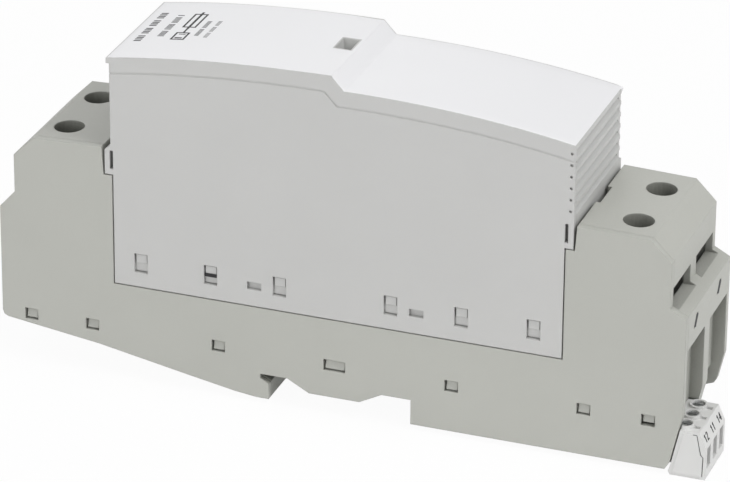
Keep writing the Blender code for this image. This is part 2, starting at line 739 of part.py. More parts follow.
def make_connector():
    """The pluggable three-pole connector: body, three screws and three small cages."""
    near, far = signal_near, signal_far
    cap_z = signal_top - 0.2 * mm
    heel_edge = [(end_right - 0.59 * mm, cap_z), (end_right - 2.5 * mm, signal_bottom + 3.0 * mm)]
    front_profile = [
        (signal_left - 0.4 * mm, signal_bottom + 0.9 * mm), (signal_left, signal_bottom),
        (signal_front, signal_bottom), (signal_front, signal_bottom + 8.2 * mm),
        (signal_front - 1.7 * mm, cap_z), *heel_edge,
    ]
    body = prism(front_profile, "y", near, far)
    plug_in = block(header_front, end_right, inner_near + gap, far - gap,
                    signal_bottom + 2.2 * mm, bay_top - gap)
    screw_x0 = end_right
    cage_x0 = screw_x0 + 0.2 * mm
    collar = 2.15 * mm
    raised = [rod("z", screw_x0, y, collar, cap_z - wall, cap_z + 0.8 * mm, 16) for y in signal_ys]
    side_panel = [
        (signal_left + 0.6 * mm, signal_bottom + 0.7 * mm),
        (signal_front - 0.8 * mm, signal_bottom + 0.7 * mm),
        (signal_front - 0.7 * mm, signal_bottom + 5.6 * mm),
        (signal_front - 1.3 * mm, signal_bottom + 6.3 * mm),
        (signal_front - 2.3 * mm, cap_z - 0.7 * mm),
        (end_right + 0.3 * mm, cap_z - 0.7 * mm),
        (end_right - 1.6 * mm, base_bottom + 1.6 * mm),
    ]
    panel = prism(side_panel, "y", near - 0.25 * mm, near + wall / 2)
    body = fuse(body, plug_in, *raised, panel)
    heel_room = [(header_front, signal_bottom + 3.0 * mm), heel_edge[1], heel_edge[0],
                 (end_right, bay_top + wall), (header_front, bay_top + wall)]
    cutters = [prism(heel_room, "y", near - wall, inner_near)]
    for y in signal_ys:
        cutters.append(rod("z", screw_x0, y, signal_screw / 2 + 0.15 * mm, signal_bottom + 9.0 * mm,
                           cap_z + wall, 16))
        cutters.append(block(signal_front - 9.6 * mm, signal_front + wall, y - 1.45 * mm,
                             y + 1.45 * mm, -5.0 * mm, 0.2 * mm))
        cutters.append(block(cage_x0 - 2.2 * mm, cage_x0 + 2.2 * mm, y - 1.95 * mm, y + 1.95 * mm,
                             -5.3 * mm, 2.5 * mm))
        cutters.append(block(signal_front - 3.6 * mm, signal_front - 2.3 * mm, y - 0.6 * mm,
                             y + 0.6 * mm, cap_z - 1.2 * mm, cap_z + wall))
        cutters.append(block(header_front - wall, header_front + 4.2 * mm, y - 0.9 * mm,
                             y + 0.9 * mm, -1.2 * mm, 0.0))
    add_object("connector_body", cut(body, *cutters), signal_white,
               (signal_left, (near + far) / 2, signal_bottom))
    for index, y in enumerate(signal_ys):
        top = cap_z + 0.5 * mm
        radius = signal_screw / 2 - 0.15 * mm
        screw = turned("z", screw_x0, y, [
            (0.0, -1.2 * mm), (0.6 * mm, -1.2 * mm), (0.6 * mm, top - 1.4 * mm),
            (radius, top - 1.4 * mm), (radius, top), (0.0, top)], 16)
        screw = cut(screw, block(screw_x0 - wall, screw_x0 + wall, y - 0.25 * mm, y + 0.25 * mm,
                                 top - 0.7 * mm, top + wall))
        add_object(f"connector_screw_{index + 1}", screw, zinc_steel, (screw_x0, y, top))
        cage = block(cage_x0 - 1.9 * mm, cage_x0 + 1.9 * mm, y - 1.1 * mm, y + 1.1 * mm,
                     -5.0 * mm, 0.5 * mm)
        cage = cut(cage,
                   block(cage_x0 - 3 * mm, cage_x0 + 3 * mm, y - 0.75 * mm, y + 0.75 * mm,
                         -4.4 * mm, -0.8 * mm),
                   rod("z", screw_x0, y, 0.85 * mm, -1.5 * mm, 1.5 * mm, 12))
        add_object(f"connector_cage_{index + 1}", cage, zinc_steel, (cage_x0, y, -5.0 * mm))


# Plug
def cap_top():
    """The cap's arched top, left to right, with the step near its middle."""
    high = arc_points(cap_left, cap_step_left, cap_step_left, cap_high, cap_left_drop,
                      cap_step_left - cap_left, arch_steps)
    low = arc_points(cap_step_right, cap_right, cap_step_right, cap_low, cap_right_drop,
                     cap_right - cap_step_right, arch_steps)
    return high + low


def skirt_line(drop, start, stop):
    """The cap's top lowered by a drop, its step moved left to keep the skirt's width."""
    shift = 0.42 * drop
    high = arc_points(start, cap_step_left - shift, cap_step_left, cap_high - drop, cap_left_drop,
                      cap_step_left - cap_left, arch_steps)
    low = arc_points(cap_step_right - shift, stop, cap_step_right, cap_low - drop, cap_right_drop,
                     cap_right - cap_step_right, arch_steps)
    return high + low


def plug_left_edge():
    """The plug's left edge from the skirt down, with its ear."""
    ear = plug_left - ear_reach
    return [
        (plug_left_upper, ear_top + 1.4 * mm), (ear, ear_top), (ear, ear_bottom),
        (plug_left, ear_bottom), (plug_left, plug_bottom),
    ]


def plug_right_edge():
    """The plug's right edge from below up to the grip's foot."""
    return [
        (plug_right, plug_bottom), (plug_right, ear_bottom), (plug_right_upper, ear_bottom),
        (plug_right_upper, grip_foot),
    ]


# Heights of the grip's grooves; the highest lies in the cap's skirt
groove_zs = [grip_low + grip_pitch * i for i in range(grip_count)]


def grip_cutters():
    """The grooves of the grip and the plain strip at their far end, as cutters."""
    crest = plug_right_upper
    floor = crest - grip_depth
    out = crest + wall
    stop = far_y - grip_margin
    shapes = []
    for z in groove_zs:
        wide, deep = 0.33 * grip_pitch, 0.12 * grip_pitch
        outline = [(out, z - wide), (crest, z - wide), (floor, z - deep), (floor, z + deep),
                   (crest, z + wide), (out, z + wide)]
        shapes.append(prism(outline, "y", near_y + cover_thickness / 2, stop + gap))
    shapes.append(block(floor, out, stop, far_y + wall, grip_foot, cap_high))
    return shapes


def grip_pits():
    """Small round pits in the near face, one beside each groove, as cutters."""
    x = plug_right_upper - 0.9 * mm
    return [rod("y", x, z, 0.35 * mm, near_y - wall, near_y + 0.5 * mm, 8) for z in groove_zs]


def make_plug_housing(parent):
    """The plug's moulded tub, open towards the near side and the cap."""
    plug_near = near_y + cover_thickness + gap
    top = skirt_line(skirt_height + gap, plug_left_upper, plug_right_upper)
    outline = plug_right_edge() + top[::-1] + plug_left_edge()
    body = prism(outline, "y", plug_near, far_y)
    tall = cap_high + wall
    inside = [
        (plug_left + wall, plug_bottom + wall), (plug_right - wall, plug_bottom + wall),
        (plug_right - wall, tall), (plug_left + wall, tall),
    ]
    body = cut(body, prism(inside, "y", plug_near - wall, inner_far))
    hooks = []
    for x in plug_windows:
        hooks.append(plug_catch(x, plug_window_width / 2 - gap, plug_window_low + gap,
                                plug_window_high - gap, inner_far + gap))
    body = fuse(body, *hooks)
    cutters = grip_cutters()
    for side in sides:
        x = side * blade_x
        cutters.append(block(x - blade_half - gap, x + blade_half + gap, -blade_width / 2 - gap,
                             blade_width / 2 + gap, plug_bottom - wall, plug_bottom + 2 * wall))
    cutters.append(rod("z", plunger_x, plunger_y, plunger_radius + 2 * gap, plug_bottom - wall,
                       plug_bottom + 2 * wall, 16))
    return add_object("plug_housing", cut(body, *cutters), plug_grey, parent=parent)


def make_plug_cover(parent):
    """The plug's near side cover with its catch windows, slots, ear slots and grip pits."""
    top = skirt_line(skirt_height + gap, plug_left_upper, plug_right_upper)
    outline = plug_right_edge() + top[::-1] + plug_left_edge()
    plate = prism(outline, "y", near_y, near_y + cover_thickness)
    reach = (near_y - wall, near_y + 2 * cover_thickness)
    cutters = grip_cutters() + grip_pits()
    for x in plug_windows:
        cutters.append(block(x - plug_window_width / 2, x + plug_window_width / 2, *reach,
                             plug_window_low, plug_window_high))
    for x in plug_slots:
        cutters.append(block(x - plug_slot_width / 2, x + plug_slot_width / 2, near_y - wall,
                             near_y + cover_thickness - 0.5 * mm, plug_slot_low, plug_slot_high))
    slot_heights = (ear_bottom + 1.4 * mm, ear_top - 0.1 * mm)
    cutters.append(block(plug_left - ear_slot, plug_left, *reach, *slot_heights))
    cutters.append(block(plug_right, plug_right + ear_slot, *reach, *slot_heights))
    return add_object("plug_side_cover", cut(plate, *cutters), plug_grey, parent=parent)


# Sight window in the cap
sight_left = -7.0 * mm
sight_right = -3.0 * mm
sight_near = -1.9 * mm
sight_far = 4.3 * mm
chute_depth = 5.6 * mm
chute_wall = 1.0 * mm


def make_plug_cap(parent):
    """The white cap: an arched, stepped lid with overhanging ends and a tapered sight window."""
    skirt = skirt_line(skirt_height, plug_left_upper, plug_right_upper)
    lip = 1.3 * mm
    left_top = cap_top()[0][1]
    outline = cap_top() + skirt[::-1] + [(plug_left_upper, left_top - lip),
                                         (cap_left, left_top - lip)]
    body = prism(outline, "y", near_y, far_y)
    inner = skirt_line(cap_wall, plug_left + wall, plug_right - wall)
    deep = cap_low - 5 * skirt_height
    hollow = inner + [(plug_right - wall, deep), (plug_left + wall, deep)]
    body = cut(body, prism(hollow, "y", near_y + cap_wall, far_y - cap_wall))
    chute = block(sight_left - chute_wall, sight_right + chute_wall, sight_near - chute_wall,
                  sight_far + chute_wall, cap_high - chute_depth, cap_high - cap_wall / 2)
    body = fuse(body, chute)
    bm = bmesh.new()
    corners = [(0, 0), (1, 0), (1, 1), (0, 1)]
    rings = []
    for level, inset in ((cap_high - chute_depth - wall, 0.9 * mm), (cap_high + wall, -0.25 * mm)):
        ring = []
        for a, b in corners:
            x = sight_right - inset if a else sight_left + inset
            y = sight_far - inset if b else sight_near + inset
            ring.append(bm.verts.new((x, y, level)))
        rings.append(ring)
    bm.faces.new(rings[0])
    bm.faces.new(rings[1])
    for i in range(4):
        j = (i + 1) % 4
        bm.faces.new((rings[0][i], rings[0][j], rings[1][j], rings[1][i]))
    bmesh.ops.recalc_face_normals(bm, faces=bm.faces)
    body = cut(body, bm, *grip_cutters(), *grip_pits())
    return add_object("plug_cap", body, cap_white, parent=parent)


# Protection parts inside the plug
gap_radius = 14.2 * mm
gap_left = -46.0 * mm
gap_right = -8.0 * mm
core_z = 45.5 * mm
fuse_radius = 8.5 * mm
fuse_left = 6.5 * mm
fuse_right = 42.5 * mm
fuse_cap_length = 6.0 * mm
strip_sheet = 1.5 * mm
strip_level = plug_window_high + 0.8 * mm
board_low = core_z + gap_radius + gap
board_sheet = 1.6 * mm
flag_travel = 4.4 * mm


def make_spark_gap(parent):
    """The arc chamber with an electrode at each end."""
    ring = 1.2 * mm
    steps = [(0.0, gap_left), (gap_radius - 2.4 * mm, gap_left), (gap_radius, gap_left + 2.4 * mm)]
    span = gap_right - gap_left
    for i in range(1, 4):
        x = gap_left + span * i / 4
        steps += [(gap_radius, x - ring), (gap_radius - 0.9 * mm, x - ring),
                  (gap_radius - 0.9 * mm, x + ring), (gap_radius, x + ring)]
    steps += [(gap_radius, gap_right - 2.4 * mm), (gap_radius - 2.4 * mm, gap_right),
              (0.0, gap_right)]
    body = turned("x", 0.0, core_z, steps, 28)
    stud = 4.0 * mm
    body = cut(body, rod("x", 0.0, core_z, stud + gap, gap_left - wall, gap_left + 5.0 * mm, 20),
               rod("x", 0.0, core_z, stud + gap, gap_right - 5.0 * mm, gap_right + wall, 20))
    add_object("spark_gap_body", body, ceramic, parent=parent)
    for end, inner, face, outer in (("left", gap_left + 4.6 * mm, gap_left - gap, gap_left - 2.0 * mm),
                                    ("right", gap_right - 4.6 * mm, gap_right + gap,
                                     gap_right + 2.0 * mm)):
        electrode = turned("x", 0.0, core_z, [
            (0.0, inner), (stud, inner), (stud, face), (9.0 * mm, face), (9.0 * mm, outer),
            (0.0, outer)], 24)
        add_object(f"electrode_{end}", electrode, copper, parent=parent)


def make_fuse(parent):
    """The back-up fuse: a ceramic tube between two pressed caps."""
    tube = turned("x", 0.0, core_z, [
        (0.0, fuse_left + fuse_cap_length - 3 * mm), (fuse_radius - 1.2 * mm,
                                                      fuse_left + fuse_cap_length - 3 * mm),
        (fuse_radius - 1.2 * mm, fuse_left + fuse_cap_length + gap),
        (fuse_radius, fuse_left + fuse_cap_length + gap),
        (fuse_radius, fuse_right - fuse_cap_length - gap),
        (fuse_radius - 1.2 * mm, fuse_right - fuse_cap_length - gap),
        (fuse_radius - 1.2 * mm, fuse_right - fuse_cap_length + 3 * mm),
        (0.0, fuse_right - fuse_cap_length + 3 * mm)], 24)
    add_object("fuse_tube", tube, ceramic, parent=parent)
    inside = fuse_radius - 1.2 * mm + gap
    for end, base, mouth in (("left", fuse_left, fuse_left + fuse_cap_length),
                             ("right", fuse_right, fuse_right - fuse_cap_length)):
        lean = 1 if mouth > base else -1
        cap = turned("x", 0.0, core_z, [
            (0.0, base), (fuse_radius - 0.6 * mm, base), (fuse_radius, base + lean * 0.6 * mm),
            (fuse_radius, mouth), (inside, mouth), (inside, mouth - lean * 3.3 * mm),
            (0.0, mouth - lean * 3.3 * mm)], 24)
        add_object(f"fuse_cap_{end}", cap, tinned_copper, parent=parent)


def make_plug_conductors(parent):
    """Two blades with their risers, and the strip between spark gap and fuse."""
    sheet = strip_sheet
    rise = core_z + 6.0 * mm
    for side, end, contact in ((-1, "left", gap_left - 2.0 * mm), (1, "right", fuse_right)):
        x = side * blade_x
        face = contact + side * gap
        shank = [
            (x - blade_half, strip_level), (x - blade_half, blade_tip + 1.0 * mm),
            (x - 0.4 * blade_half, blade_tip), (x + 0.4 * blade_half, blade_tip),
            (x + blade_half, blade_tip + 1.0 * mm), (x + blade_half, strip_level),
        ]
        turn = [(face + side * sheet, strip_level), (face + side * sheet, rise), (face, rise),
                (face, strip_level + sheet), (x - side * blade_half, strip_level + sheet)]
        if side < 0:
            outline = shank[::-1] + turn
        else:
            outline = shank + turn
        add_object(f"blade_{end}", prism(outline, "y", -blade_width / 2, blade_width / 2),
                   copper, parent=parent)
    left = gap_right + 2.0 * mm + gap
    right = fuse_left - gap
    link = [
        (left, core_z - 6 * mm), (left + sheet, core_z - 6 * mm), (left + sheet, core_z),
        (right - sheet, core_z), (right - sheet, core_z - 5 * mm), (right, core_z - 5 * mm),
        (right, core_z + sheet), (left, core_z + sheet),
    ]
    add_object("link_middle", prism(link, "y", -blade_width / 2, blade_width / 2), copper,
               parent=parent)


def make_trigger(parent):
    """The trigger circuit that fires the spark gap: its board and three large parts."""
    board = block(gap_left, gap_right + 12.0 * mm, -13.0 * mm, 13.0 * mm, board_low,
                  board_low + board_sheet)
    add_object("trigger_board", board, board_green, parent=parent)
    seat = board_low + board_sheet + gap
    coil = block(-44.0 * mm, -34.0 * mm, -6.0 * mm, 6.0 * mm, seat, seat + 6.0 * mm)
    coil = fuse(coil, rod("x", 0.0, seat + 3.8 * mm, 3.6 * mm, -42.0 * mm, -36.0 * mm, 20))
    add_object("trigger_coil", coil, brass, parent=parent)
    can = turned("z", -26.5 * mm, -7.0 * mm, [
        (0.0, seat), (4.0 * mm, seat), (4.0 * mm, seat + 5.6 * mm), (3.4 * mm, seat + 6.2 * mm),
        (0.0, seat + 6.2 * mm)], 20)
    add_object("trigger_capacitor", can, resin_black, parent=parent)
    disc = turned("y", -26.5 * mm, seat + 4.2 * mm, [
        (0.0, 3.0 * mm), (3.4 * mm, 3.0 * mm), (4.2 * mm, 3.9 * mm), (4.2 * mm, 6.1 * mm),
        (3.4 * mm, 7.0 * mm), (0.0, 7.0 * mm)], 20)
    add_object("varistor", disc, varistor_blue, parent=parent)


def make_indicator(parent):
    """The status flag that slides under the sight window."""
    seat = board_low + board_sheet + gap
    top = cap_high - chute_depth - 2 * gap
    plate = [
        (sight_left - flag_travel - 1.4 * mm, top), (sight_right + 1.6 * mm, top),
        (sight_right + 1.6 * mm, top - 1.2 * mm), (sight_left - 0.4 * mm, top - 1.2 * mm),
        (sight_left - 0.4 * mm, seat), (sight_left - flag_travel + 0.6 * mm, seat),
        (sight_left - flag_travel + 0.6 * mm, top - 1.2 * mm),
        (sight_left - flag_travel - 1.4 * mm, top - 1.2 * mm),
    ]
    flag = prism(plate, "y", sight_near - 0.8 * mm, sight_far + 0.8 * mm)
    pivot = (sight_left, (sight_near + sight_far) / 2, top)
    add_object("status_indicator", flag, flag_green, pivot, parent)


def main():
    for thing in list(bpy.data.objects):
        bpy.data.objects.remove(thing, do_unlink=True)
    make_base_housing()
    make_base_cover()
    make_partitions()
    make_terminals()
    make_busbars()
    make_contact_clips()
    make_latch()
    make_signal_switch()
    make_signal_header()
    make_connector()
    plug = bpy.data.objects.new("plug", None)
    bpy.context.scene.collection.objects.link(plug)
    plug.location = (0.0, 0.0, plug_bottom)
    make_plug_housing(plug)
    make_plug_cover(plug)
    make_plug_cap(plug)
    make_spark_gap(plug)
    make_fuse(plug)
    make_plug_conductors(plug)
    make_trigger(plug)
    make_indicator(plug)


main()
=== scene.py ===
import json
import math

import bmesh
import bpy
import numpy as np
from mathutils import Matrix, Vector


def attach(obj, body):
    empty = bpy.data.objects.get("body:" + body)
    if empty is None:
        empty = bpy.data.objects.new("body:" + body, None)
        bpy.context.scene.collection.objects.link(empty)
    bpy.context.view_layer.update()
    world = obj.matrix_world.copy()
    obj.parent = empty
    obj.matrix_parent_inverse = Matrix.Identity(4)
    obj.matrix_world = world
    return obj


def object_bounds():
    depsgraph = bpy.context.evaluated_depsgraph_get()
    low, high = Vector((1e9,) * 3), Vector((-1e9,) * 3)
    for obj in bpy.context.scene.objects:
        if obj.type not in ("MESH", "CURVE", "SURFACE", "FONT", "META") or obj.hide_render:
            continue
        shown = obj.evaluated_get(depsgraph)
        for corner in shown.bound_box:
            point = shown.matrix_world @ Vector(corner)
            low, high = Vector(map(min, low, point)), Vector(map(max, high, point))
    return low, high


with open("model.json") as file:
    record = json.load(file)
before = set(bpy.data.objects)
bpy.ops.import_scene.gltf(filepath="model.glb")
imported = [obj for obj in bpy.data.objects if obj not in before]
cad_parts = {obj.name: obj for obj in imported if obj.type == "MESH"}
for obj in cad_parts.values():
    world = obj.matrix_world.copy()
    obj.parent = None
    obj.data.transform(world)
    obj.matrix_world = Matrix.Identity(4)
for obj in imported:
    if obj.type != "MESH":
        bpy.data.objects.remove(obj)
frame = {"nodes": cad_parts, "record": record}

mm = 0.001
nodes = frame["nodes"]
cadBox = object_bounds()
boxDigits = 6


# Lowest and highest corner of a node, rounded to a micrometre.
def nodeBox(name):
    vertices = nodes[name].data.vertices
    flat = np.empty(len(vertices) * 3, dtype=np.float32)
    vertices.foreach_get("co", flat)
    points = flat.reshape(-1, 3).astype(float)
    return np.round(points.min(axis=0), boxDigits), np.round(points.max(axis=0), boxDigits)


capLow, capHigh = nodeBox("plug_cap")
endFace = nodeBox("base_housing")[1][0]
connectorFront = nodeBox("connector_body")[1][0]
print("frame loaded:", len(nodes), "nodes")


# Node material helpers.

def newMaterial(name):
    made = bpy.data.materials.new(name)
    made.use_nodes = True
    made.node_tree.nodes.clear()
    out = made.node_tree.nodes.new("ShaderNodeOutputMaterial")
    shader = made.node_tree.nodes.new("ShaderNodeBsdfPrincipled")
    made.node_tree.links.new(shader.outputs["BSDF"], out.inputs["Surface"])
    return made, made.node_tree.nodes, made.node_tree.links, shader


def noiseNode(tree, links, coord, scale, detail=2.0, rough=0.5, stretch=None):
    noise = tree.new("ShaderNodeTexNoise")
    noise.inputs["Scale"].default_value = scale
    noise.inputs["Detail"].default_value = detail
    noise.inputs["Roughness"].default_value = rough
    if stretch:
        mapping = tree.new("ShaderNodeMapping")
        mapping.inputs["Scale"].default_value = stretch
        links.new(coord, mapping.inputs["Vector"])
        coord = mapping.outputs["Vector"]
    links.new(coord, noise.inputs["Vector"])
    return noise.outputs["Fac"]


def remap(tree, links, value, low, high, newLow, newHigh):
    node = tree.new("ShaderNodeMapRange")
    node.inputs["From Min"].default_value = low
    node.inputs["From Max"].default_value = high
    node.inputs["To Min"].default_value = newLow
    node.inputs["To Max"].default_value = newHigh
    links.new(value, node.inputs["Value"])
    return node.outputs["Result"]


def mixColour(tree, links, factor, first, second):
    node = tree.new("ShaderNodeMix")
    node.data_type = "RGBA"
    links.new(factor, node.inputs["Factor"])
    for socket, value in ((node.inputs["A"], first), (node.inputs["B"], second)):
        if isinstance(value, tuple):
            socket.default_value = (*value, 1.0)
        else:
            links.new(value, socket)
    return node.outputs["Result"]


def scaled(colour, factor):
    return tuple(min(1.0, c * factor) for c in colour)


# What all moulded finishes share: samples of the rounding and recess nodes, how much coarser the
# slow grain is than the fine one, the noise values between which drift, specks and gloss change,
# the spread of gloss, how dark a speck and how light a rubbed edge is, how shut a recess is where
# its painted shade is darkest, and the dot product where an edge counts in full.
plasticValues = dict(edgeSamples=6, hollowSamples=4, coarse=0.28, driftRange=(0.3, 0.7),
                     speckRange=(0.35, 0.7), glossRange=(0.25, 0.75), glossSpread=0.06,
                     speckShade=0.8, rubShade=1.25, shut=0.15, edgeFull=0.75, ior=1.5)
metalValues = dict(edgeSamples=4, stainRange=(0.35, 0.7), streakRange=(0.3, 0.7), glossLess=0.07,
                   glossMore=0.09)


# Mask that is 0 on flats and rises along outer and inner edges, as the dot product of the rounded
# normal with the true one falls below 1.
def edgeMask(tree, links, rounded):
    geometry = tree.new("ShaderNodeNewGeometry")
    dot = tree.new("ShaderNodeVectorMath")
    dot.operation = "DOT_PRODUCT"
    links.new(rounded, dot.inputs[0])
    links.new(geometry.outputs["Normal"], dot.inputs[1])
    return remap(tree, links, dot.outputs["Value"], 1.0, plasticValues["edgeFull"], 0.0, 1.0)


# Spark-eroded mould grain as bump, slow drift in shade and gloss, rounded and slightly rubbed edges,
# and, where the look has a shadeDepth, painted shade that darkens the colour deep in recesses.
def mouldedPlastic(name, look):
    made, tree, links, shader = newMaterial(name)
    common = plasticValues
    coord = tree.new("ShaderNodeTexCoord").outputs["Object"]
    rounding = tree.new("ShaderNodeBevel")
    rounding.samples = common["edgeSamples"]
    rounding.inputs["Radius"].default_value = look["edge"]
    fine = noiseNode(tree, links, coord, 1.0 / look["grain"], 2.0, 0.6)
    coarse = noiseNode(tree, links, coord, common["coarse"] / look["grain"], 1.0)
    drift = noiseNode(tree, links, coord, 1.0 / look["drift"], 2.0)
    shade = mixColour(tree, links, remap(tree, links, drift, *common["driftRange"], 0.0, 1.0),
                      scaled(look["colour"], 1.0 - look["mottle"]),
                      scaled(look["colour"], 1.0 + look["mottle"]))
    specks = remap(tree, links, fine, *common["speckRange"], 0.0, look["speckle"])
    speckled = mixColour(tree, links, specks, shade, scaled(look["colour"], common["speckShade"]))
    rubbed = tree.new("ShaderNodeMath")
    rubbed.operation = "MULTIPLY"
    rubbed.use_clamp = True
    links.new(edgeMask(tree, links, rounding.outputs["Normal"]), rubbed.inputs[0])
    rubbed.inputs[1].default_value = look["rub"]
    wearAndPaintedShade = mixColour(tree, links, rubbed.outputs["Value"], speckled,
                     scaled(look["colour"], common["rubShade"]))
    # Painted shade: where the occlusion node finds the surface shut in, the colour is mixed towards
    # a dark colour.
    if look.get("shadeDepth"):
        hollow = tree.new("ShaderNodeAmbientOcclusion")
        hollow.samples = common["hollowSamples"]
        hollow.inputs["Distance"].default_value = look["shadeDepth"]
        hollow.only_local = look["ownShape"]
        deep = remap(tree, links, hollow.outputs["AO"], common["shut"], look["open"],
                     look["shade"], 0.0)
        wearAndPaintedShade = mixColour(tree, links, deep, wearAndPaintedShade, look["paintedShadeColour"])
    links.new(wearAndPaintedShade, shader.inputs["Base Color"])
    gloss = remap(tree, links, coarse, *common["glossRange"],
                  look["rough"] - common["glossSpread"], look["rough"] + common["glossSpread"])
    links.new(gloss, shader.inputs["Roughness"])
    height = tree.new("ShaderNodeMath")
    height.operation = "ADD"
    links.new(fine, height.inputs[0])
    links.new(coarse, height.inputs[1])
    bump = tree.new("ShaderNodeBump")
    bump.inputs["Strength"].default_value = look["bump"]
    bump.inputs["Distance"].default_value = look["depth"]
    links.new(height.outputs["Value"], bump.inputs["Height"])
    links.new(rounding.outputs["Normal"], bump.inputs["Normal"])
    links.new(bump.outputs["Normal"], shader.inputs["Normal"])
    shader.inputs["IOR"].default_value = common["ior"]
    return made


# Plated or bare metal: drawn streaks, small stains and slightly rounded edges.
def metalSheet(name, look):
    made, tree, links, shader = newMaterial(name)
    coord = tree.new("ShaderNodeTexCoord").outputs["Object"]
    rounding = tree.new("ShaderNodeBevel")
    rounding.samples = metalValues["edgeSamples"]
    rounding.inputs["Radius"].default_value = look["edge"]
    streak = noiseNode(tree, links, coord, 1.0 / look["grain"], 2.0, 0.5, look["stretch"])
    stain = noiseNode(tree, links, coord, 1.0 / look["stain"], 3.0, 0.6)
    stained = remap(tree, links, stain, *metalValues["stainRange"], 0.0, 1.0)
    shade = mixColour(tree, links, stained, look["colour"],
                      scaled(look["colour"], look["stainShade"]))
    links.new(shade, shader.inputs["Base Color"])
    shader.inputs["Metallic"].default_value = 1.0
    gloss = remap(tree, links, streak, *metalValues["streakRange"],
                  look["rough"] - metalValues["glossLess"], look["rough"] + metalValues["glossMore"])
    links.new(gloss, shader.inputs["Roughness"])
    bump = tree.new("ShaderNodeBump")
    bump.inputs["Strength"].default_value = look["bump"]
    bump.inputs["Distance"].default_value = look["depth"]
    links.new(streak, bump.inputs["Height"])
    links.new(rounding.outputs["Normal"], bump.inputs["Normal"])
    links.new(bump.outputs["Normal"], shader.inputs["Normal"])
    return made


# Finishes, one per material slot of the record.

# In base_grey and plug_grey, shadeDepth, shade, open, ownShape and the last colour set the painted
# shade in recesses: how far the occlusion reaches, how strong the shade is, when a surface counts as
# open, whether other parts count, and the dark colour itself.
plasticLooks = {
    "base_grey": dict(colour=(0.49, 0.495, 0.458), rough=0.52, grain=0.22 * mm, depth=0.03 * mm,
                      bump=0.35, drift=22 * mm, mottle=0.015, speckle=0.10, rub=0.25,
                      edge=0.45 * mm, shadeDepth=11 * mm, shade=0.97, open=0.85,
                      ownShape=True, paintedShadeColour=(0.06, 0.063, 0.047)),
    "plug_grey": dict(colour=(0.575, 0.575, 0.565), rough=0.50, grain=0.22 * mm, depth=0.03 * mm,
                      bump=0.30, drift=26 * mm, mottle=0.012, speckle=0.08, rub=0.25,
                      edge=0.35 * mm, shadeDepth=2.5 * mm, shade=0.5, open=0.35,
                      ownShape=False, paintedShadeColour=(0.06, 0.062, 0.055)),
    "cap_white": dict(colour=(0.845, 0.845, 0.86), rough=0.45, grain=0.20 * mm, depth=0.02 * mm,
                      bump=0.25, drift=30 * mm, mottle=0.008, speckle=0.04, rub=0.10,
                      edge=0.30 * mm),
    "signal_white": dict(colour=(0.72, 0.72, 0.71), rough=0.42, grain=0.16 * mm, depth=0.02 * mm,
                         bump=0.25, drift=9 * mm, mottle=0.01, speckle=0.04, rub=0.15,
                         edge=0.22 * mm),
    "latch_black": dict(colour=(0.045, 0.045, 0.05), rough=0.48, grain=0.25 * mm, depth=0.03 * mm,
                        bump=0.35, drift=12 * mm, mottle=0.06, speckle=0.2, rub=0.25,
                        edge=0.30 * mm),
    "resin_black": dict(colour=(0.035, 0.035, 0.036), rough=0.42, grain=0.18 * mm,
                        depth=0.02 * mm, bump=0.3, drift=8 * mm, mottle=0.05, speckle=0.2,
                        rub=0.2, edge=0.25 * mm),
    "ceramic": dict(colour=(0.80, 0.785, 0.73), rough=0.28, grain=0.5 * mm, depth=0.02 * mm,
                    bump=0.15, drift=10 * mm, mottle=0.02, speckle=0.05, rub=0.1,
                    edge=0.40 * mm),
    "board_green": dict(colour=(0.045, 0.20, 0.085), rough=0.35, grain=0.4 * mm, depth=0.02 * mm,
                        bump=0.25, drift=6 * mm, mottle=0.08, speckle=0.3, rub=0.2,
                        edge=0.20 * mm),
    "varistor_blue": dict(colour=(0.055, 0.14, 0.40), rough=0.22, grain=0.8 * mm, depth=0.05 * mm,
                          bump=0.2, drift=4 * mm, mottle=0.06, speckle=0.1, rub=0.15,
                          edge=0.40 * mm),
    "flag_green": dict(colour=(0.34, 0.46, 0.39), rough=0.5, grain=0.25 * mm, depth=0.02 * mm,
                       bump=0.2, drift=6 * mm, mottle=0.03, speckle=0.08, rub=0.1,
                       edge=0.25 * mm),
}
metalLooks = {
    "zinc_steel": dict(colour=(0.60, 0.61, 0.63), rough=0.30, grain=0.5 * mm, stretch=(1, 1, 0.2),
                       stain=3 * mm, stainShade=0.82, bump=0.2, depth=0.02 * mm, edge=0.2 * mm),
    "brass": dict(colour=(0.70, 0.46, 0.22), rough=0.30, grain=0.4 * mm, stretch=(1, 0.1, 0.1),
                  stain=3 * mm, stainShade=0.75, bump=0.2, depth=0.02 * mm, edge=0.2 * mm),
    "tinned_copper": dict(colour=(0.70, 0.68, 0.65), rough=0.32, grain=0.5 * mm,
                          stretch=(0.15, 1, 1), stain=4 * mm, stainShade=0.85, bump=0.2,
                          depth=0.02 * mm, edge=0.2 * mm),
    "copper": dict(colour=(0.74, 0.40, 0.25), rough=0.32, grain=0.5 * mm, stretch=(1, 1, 0.15),
                   stain=5 * mm, stainShade=0.8, bump=0.2, depth=0.02 * mm, edge=0.2 * mm),
    "spring_steel": dict(colour=(0.52, 0.52, 0.54), rough=0.28, grain=0.3 * mm, stretch=(1, 1, 1),
                         stain=2 * mm, stainShade=0.85, bump=0.15, depth=0.01 * mm,
                         edge=0.1 * mm),
}
finishes = {name: mouldedPlastic(name, look) for name, look in plasticLooks.items()}
finishes.update({name: metalSheet(name, look) for name, look in metalLooks.items()})

for part in frame["record"]["subparts"]:
    mesh = nodes[part["node"]].data
    mesh.materials.clear()
    mesh.materials.append(finishes[part["material_slot"]])
# The cap's moulding is as grey as the plug; only the lid laid on it further down is white.
nodes["plug_cap"].data.materials[0] = finishes["plug_grey"]
print("finishes on the nodes done")


# Surfaces from arrays.

# Angles in degrees above which an edge is shaded as sharp, and what a length may be off by.
softCrease, hardCrease = 35.0, 20.0
tiny = 1e-9


